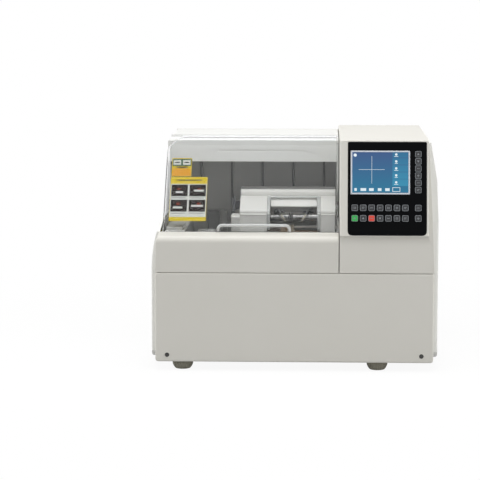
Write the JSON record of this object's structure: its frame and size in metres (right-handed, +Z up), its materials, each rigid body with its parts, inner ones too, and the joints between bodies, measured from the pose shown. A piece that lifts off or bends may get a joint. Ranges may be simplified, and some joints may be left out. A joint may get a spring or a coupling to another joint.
{
  "type": "automatic lens edger",
  "caption": "Tabletop automatic lens edger: clear lid over a grinding chamber with swinging carriage and wheels, sloping console with display and keys, on levelling feet.",
  "frame": {"origin": "on the table, under the middle of the machine's bounding box", "axes": "+Z up, +Y from the front to the back, +X towards the console side"},
  "size_m": [0.58, 0.5, 0.464],
  "materials": {
    "white_cover": "smooth satin moulding",
    "grey_cover": "satin moulding",
    "liner": "dull grey",
    "base_casting": "as cast",
    "foot": "ribbed grey rubber",
    "clear": "clear acrylic",
    "clear_guard": "clear acrylic",
    "handle": "polished",
    "glass_panel": "polished black",
    "display": "lit display in a silver edge",
    "key": "dark, grey edged",
    "key_green": "green",
    "key_red": "red",
    "carriage_white": "satin",
    "steel": "ground",
    "pulley": "turned",
    "motor": "dark enamel",
    "belt": "dull",
    "feeler": "dark",
    "coarse_wheel": "coarse grit on steel",
    "fine_wheel": "fine grit on steel",
    "fitting": "dark"
  },
  "bodies": {
    "housing": {"front_panel": "white_cover", "side_cover_left": "white_cover", "side_cover_right": "white_cover", "chamber_front_cover": "white_cover", "console_housing": "white_cover", "rear_cover": "white_cover", "rear_top_cover": "grey_cover", "chamber_liner": "liner", "base_casting": "base_casting", "console_panel": "glass_panel", "display_screen": "display", "lid_hinge_pin": "steel", "grinding_motor": "motor", "drive_belt": "belt", "power_inlet": "fitting"},
    "lid": {"lid_window": "clear", "lid_handle": "handle"},
    "guide": {"guide_shaft": "steel"},
    "carriage": {"swing_carriage": "carriage_white", "carriage_cover": "carriage_white", "left_head_cover": "carriage_white", "right_head_cover": "carriage_white", "splash_guard": "clear_guard"},
    "left_lens_shaft": {"left_chuck": "steel"},
    "quill": {"clamp_quill": "steel"},
    "right_lens_shaft": {"right_chuck": "steel"},
    "spindle": {"wheel_spindle": "steel", "roughing_wheel": "coarse_wheel", "bevel_wheel": "fine_wheel", "polishing_wheel": "fine_wheel"},
    "motor_pulley": {"motor_pulley": "pulley"},
    "left_feeler": {"left_feeler": "feeler"},
    "right_feeler": {"right_feeler": "feeler"},
    "switch_rocker": {"power_switch": "fitting"},
    "key_side_1": {"key_side_1": "key"},
    "key_side_2": {"key_side_2": "key"},
    "key_side_3": {"key_side_3": "key"},
    "key_side_4": {"key_side_4": "key"},
    "key_side_5": {"key_side_5": "key"},
    "key_side_6": {"key_side_6": "key"},
    "key_upper_1": {"key_upper_1": "key"},
    "key_upper_2": {"key_upper_2": "key"},
    "key_upper_3": {"key_upper_3": "key"},
    "key_upper_4": {"key_upper_4": "key"},
    "key_upper_5": {"key_upper_5": "key"},
    "key_upper_6": {"key_upper_6": "key"},
    "key_upper_7": {"key_upper_7": "key"},
    "key_upper_8": {"key_upper_8": "key"},
    "key_lower_1": {"key_lower_1": "key_green"},
    "key_lower_2": {"key_lower_2": "key"},
    "key_lower_3": {"key_lower_3": "key_red"},
    "key_lower_4": {"key_lower_4": "key"},
    "key_lower_5": {"key_lower_5": "key"},
    "key_lower_6": {"key_lower_6": "key"},
    "key_lower_7": {"key_lower_7": "key"},
    "key_lower_8": {"key_lower_8": "key"},
    "foot_front_left": {"foot_front_left": "foot"},
    "foot_front_right": {"foot_front_right": "foot"},
    "foot_rear_left": {"foot_rear_left": "foot"},
    "foot_rear_right": {"foot_rear_right": "foot"}
  },
  "joints": [
    {"name": "lid_hinge", "type": "hinge", "parent": "housing", "child": "lid", "pos_m": [0, 0.05462, 0.447], "axis": [-1, 0, 0], "range_deg": [0, 75]},
    {"name": "carriage_traverse", "type": "slide", "parent": "housing", "child": "guide", "axis": [1, 0, 0], "range_m": [-0.036, 0]},
    {"name": "carriage_swing", "type": "hinge", "parent": "guide", "child": "carriage", "pos_m": [0, -0.00038, 0.303], "axis": [1, 0, 0], "range_deg": [0, 10]},
    {"name": "left_lens_turn", "type": "hinge", "parent": "carriage", "child": "left_lens_shaft", "pos_m": [0, -0.07537, 0.293], "axis": [1, 0, 0], "continuous": true},
    {"name": "lens_clamp", "type": "slide", "parent": "carriage", "child": "quill", "axis": [1, 0, 0], "range_m": [0, 0.017]},
    {"name": "right_lens_turn", "type": "hinge", "parent": "quill", "child": "right_lens_shaft", "pos_m": [0, -0.07537, 0.293], "axis": [1, 0, 0], "continuous": true},
    {"name": "spindle_spin", "type": "hinge", "parent": "housing", "child": "spindle", "pos_m": [0, -0.04537, 0.224], "axis": [1, 0, 0], "continuous": true},
    {"name": "motor_spin", "type": "hinge", "parent": "housing", "child": "motor_pulley", "pos_m": [0, -0.04537, 0.092], "axis": [1, 0, 0], "continuous": true},
    {"name": "left_feeler_swing", "type": "hinge", "parent": "carriage", "child": "left_feeler", "pos_m": [0, -0.03338, 0.296], "axis": [1, 0, 0], "range_deg": [-6, 6], "stiffness_Nm_per_rad": 0.05},
    {"name": "right_feeler_swing", "type": "hinge", "parent": "carriage", "child": "right_feeler", "pos_m": [0, -0.03338, 0.296], "axis": [1, 0, 0], "range_deg": [-6, 6], "stiffness_Nm_per_rad": 0.05},
    {"name": "switch_rock", "type": "hinge", "parent": "housing", "child": "switch_rocker", "pos_m": [0.13, 0.2455, 0.08], "axis": [1, 0, 0], "range_deg": [-16, 0]},
    {"name": "press_side_1", "type": "slide", "parent": "housing", "child": "key_side_1", "axis": [0, 0.9808, -0.1952], "range_m": [0, 0.0008], "stiffness_N_per_m": 400},
    {"name": "press_side_2", "type": "slide", "parent": "housing", "child": "key_side_2", "axis": [0, 0.9808, -0.1952], "range_m": [0, 0.0008], "stiffness_N_per_m": 400},
    {"name": "press_side_3", "type": "slide", "parent": "housing", "child": "key_side_3", "axis": [0, 0.9808, -0.1952], "range_m": [0, 0.0008], "stiffness_N_per_m": 400},
    {"name": "press_side_4", "type": "slide", "parent": "housing", "child": "key_side_4", "axis": [0, 0.9808, -0.1952], "range_m": [0, 0.0008], "stiffness_N_per_m": 400},
    {"name": "press_side_5", "type": "slide", "parent": "housing", "child": "key_side_5", "axis": [0, 0.9808, -0.1952], "range_m": [0, 0.0008], "stiffness_N_per_m": 400},
    {"name": "press_side_6", "type": "slide", "parent": "housing", "child": "key_side_6", "axis": [0, 0.9808, -0.1952], "range_m": [0, 0.0008], "stiffness_N_per_m": 400},
    {"name": "press_upper_1", "type": "slide", "parent": "housing", "child": "key_upper_1", "axis": [0, 0.9808, -0.1952], "range_m": [0, 0.0008], "stiffness_N_per_m": 400},
    {"name": "press_upper_2", "type": "slide", "parent": "housing", "child": "key_upper_2", "axis": [0, 0.9808, -0.1952], "range_m": [0, 0.0008], "stiffness_N_per_m": 400},
    {"name": "press_upper_3", "type": "slide", "parent": "housing", "child": "key_upper_3", "axis": [0, 0.9808, -0.1952], "range_m": [0, 0.0008], "stiffness_N_per_m": 400},
    {"name": "press_upper_4", "type": "slide", "parent": "housing", "child": "key_upper_4", "axis": [0, 0.9808, -0.1952], "range_m": [0, 0.0008], "stiffness_N_per_m": 400},
    {"name": "press_upper_5", "type": "slide", "parent": "housing", "child": "key_upper_5", "axis": [0, 0.9808, -0.1952], "range_m": [0, 0.0008], "stiffness_N_per_m": 400},
    {"name": "press_upper_6", "type": "slide", "parent": "housing", "child": "key_upper_6", "axis": [0, 0.9808, -0.1952], "range_m": [0, 0.0008], "stiffness_N_per_m": 400},
    {"name": "press_upper_7", "type": "slide", "parent": "housing", "child": "key_upper_7", "axis": [0, 0.9808, -0.1952], "range_m": [0, 0.0008], "stiffness_N_per_m": 400},
    {"name": "press_upper_8", "type": "slide", "parent": "housing", "child": "key_upper_8", "axis": [0, 0.9808, -0.1952], "range_m": [0, 0.0008], "stiffness_N_per_m": 400},
    {"name": "press_lower_1", "type": "slide", "parent": "housing", "child": "key_lower_1", "axis": [0, 0.9808, -0.1952], "range_m": [0, 0.0008], "stiffness_N_per_m": 400},
    {"name": "press_lower_2", "type": "slide", "parent": "housing", "child": "key_lower_2", "axis": [0, 0.9808, -0.1952], "range_m": [0, 0.0008], "stiffness_N_per_m": 400},
    {"name": "press_lower_3", "type": "slide", "parent": "housing", "child": "key_lower_3", "axis": [0, 0.9808, -0.1952], "range_m": [0, 0.0008], "stiffness_N_per_m": 400},
    {"name": "press_lower_4", "type": "slide", "parent": "housing", "child": "key_lower_4", "axis": [0, 0.9808, -0.1952], "range_m": [0, 0.0008], "stiffness_N_per_m": 400},
    {"name": "press_lower_5", "type": "slide", "parent": "housing", "child": "key_lower_5", "axis": [0, 0.9808, -0.1952], "range_m": [0, 0.0008], "stiffness_N_per_m": 400},
    {"name": "press_lower_6", "type": "slide", "parent": "housing", "child": "key_lower_6", "axis": [0, 0.9808, -0.1952], "range_m": [0, 0.0008], "stiffness_N_per_m": 400},
    {"name": "press_lower_7", "type": "slide", "parent": "housing", "child": "key_lower_7", "axis": [0, 0.9808, -0.1952], "range_m": [0, 0.0008], "stiffness_N_per_m": 400},
    {"name": "press_lower_8", "type": "slide", "parent": "housing", "child": "key_lower_8", "axis": [0, 0.9808, -0.1952], "range_m": [0, 0.0008], "stiffness_N_per_m": 400},
    {"name": "level_front_left", "type": "hinge", "parent": "housing", "child": "foot_front_left", "pos_m": [-0.226, -0.21438, 0], "axis": [0, 0, 1], "continuous": true},
    {"name": "level_front_right", "type": "hinge", "parent": "housing", "child": "foot_front_right", "pos_m": [0.168, -0.21438, 0], "axis": [0, 0, 1], "continuous": true},
    {"name": "level_rear_left", "type": "hinge", "parent": "housing", "child": "foot_rear_left", "pos_m": [-0.226, 0.197, 0], "axis": [0, 0, 1], "continuous": true},
    {"name": "level_rear_right", "type": "hinge", "parent": "housing", "child": "foot_rear_right", "pos_m": [0.168, 0.197, 0], "axis": [0, 0, 1], "continuous": true}
  ],
  "couplings": [
    {"joint": "right_lens_turn", "follows": "left_lens_turn", "ratio": 1},
    {"joint": "motor_spin", "follows": "spindle_spin", "ratio": 1.25}
  ]
}
